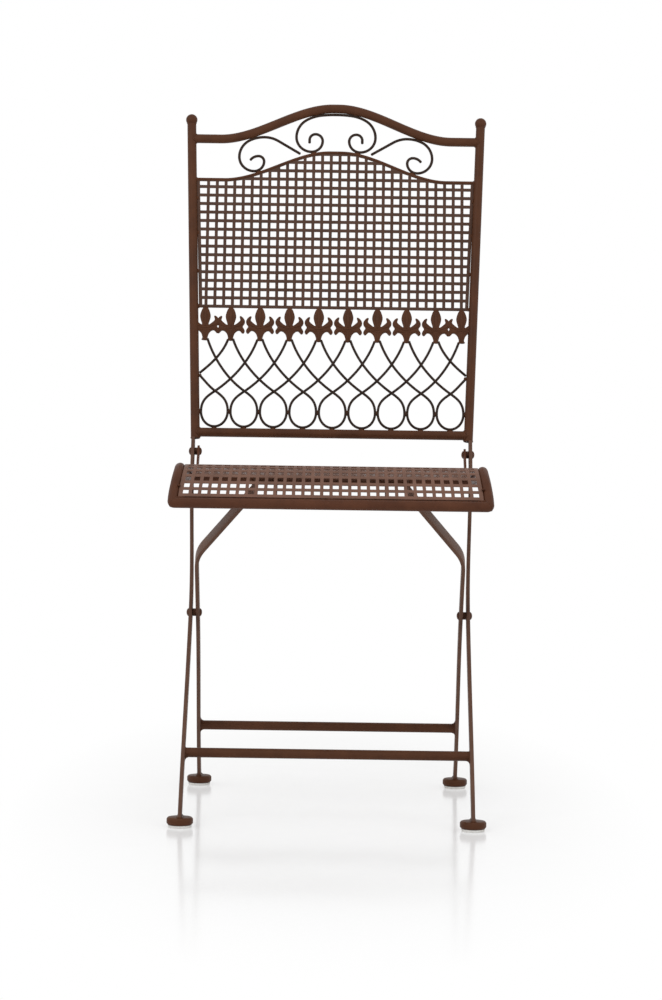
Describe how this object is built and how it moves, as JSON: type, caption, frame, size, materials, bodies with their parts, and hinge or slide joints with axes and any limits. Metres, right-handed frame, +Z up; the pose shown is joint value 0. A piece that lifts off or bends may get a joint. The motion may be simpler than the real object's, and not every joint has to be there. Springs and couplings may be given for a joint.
{
  "type": "folding garden chair",
  "caption": "Folding wrought iron garden chair with mesh seat and back, looped wires, leaf ornaments and scrolls; the seat and rear legs fold together.",
  "frame": {"origin": "centre of the bounding box in plan, on the floor", "axes": "+X to the right seen from the front, +Y to the back of the chair, +Z up; the chair stands open and faces -Y"},
  "size_m": [0.438, 0.5124, 0.9853],
  "materials": {
    "brown_paint": "satin reddish dark brown paint",
    "seat_paint": "satin greyish brown paint",
    "wire_paint": "satin very dark brown paint",
    "white_plastic": "matt white plastic"
  },
  "bodies": {
    "back_frame": {"back_lower_rail": "brown_paint", "back_net": "brown_paint", "back_net_edge": "brown_paint", "back_post_left": "brown_paint", "back_post_right": "brown_paint", "crest_rail": "brown_paint", "fleur_01": "brown_paint", "fleur_02": "brown_paint", "fleur_03": "brown_paint", "fleur_04": "brown_paint", "fleur_05": "brown_paint", "fleur_06": "brown_paint", "fleur_07": "brown_paint", "fleur_08": "brown_paint", "fleur_09": "brown_paint", "fleur_10": "brown_paint", "front_foot_cap_left": "brown_paint", "front_foot_cap_right": "brown_paint", "front_foot_pad_left": "white_plastic", "front_foot_pad_right": "white_plastic", "front_leg_bar_left": "brown_paint", "front_leg_bar_right": "brown_paint", "front_stretcher": "brown_paint", "lattice_side_wire_left": "wire_paint", "lattice_side_wire_right": "wire_paint", "lattice_wire_01": "wire_paint", "lattice_wire_02": "wire_paint", "lattice_wire_03": "wire_paint", "lattice_wire_04": "wire_paint", "lattice_wire_05": "wire_paint", "lattice_wire_06": "wire_paint", "lattice_wire_07": "wire_paint", "lattice_wire_08": "wire_paint", "lattice_wire_09": "wire_paint", "leg_rivet_left": "brown_paint", "leg_rivet_right": "brown_paint", "scroll_centre": "wire_paint", "scroll_left": "wire_paint", "scroll_right": "wire_paint", "seat_rivet_left": "brown_paint", "seat_rivet_right": "brown_paint"},
    "rear_leg_frame": {"rear_foot_cap_left": "brown_paint", "rear_foot_cap_right": "brown_paint", "rear_foot_pad_left": "white_plastic", "rear_foot_pad_right": "white_plastic", "rear_leg_bar_left": "brown_paint", "rear_leg_bar_right": "brown_paint", "rear_stretcher": "brown_paint", "seat_support_rod": "brown_paint"},
    "seat": {"seat_ear_left": "seat_paint", "seat_ear_right": "seat_paint", "seat_front_rail": "seat_paint", "seat_hook_left": "seat_paint", "seat_hook_right": "seat_paint", "seat_net_front": "seat_paint", "seat_net_middle": "seat_paint", "seat_net_rear": "seat_paint", "seat_rail_left": "seat_paint", "seat_rail_right": "seat_paint", "seat_rear_rail": "seat_paint"}
  },
  "joints": [
    {"name": "seat_fold", "type": "hinge", "parent": "back_frame", "child": "seat", "pos_m": [0, 0.13888, 0.4806], "axis": [-1, 0, 0], "range_deg": [0, 100]},
    {"name": "rear_leg_fold", "type": "hinge", "parent": "back_frame", "child": "rear_leg_frame", "pos_m": [0, -0.03426, 0.2655], "axis": [-1, 0, 0], "range_deg": [0, 68]}
  ],
  "couplings": [
    {"joint": "rear_leg_fold", "follows": "seat_fold", "ratio": 0.68}
  ]
}
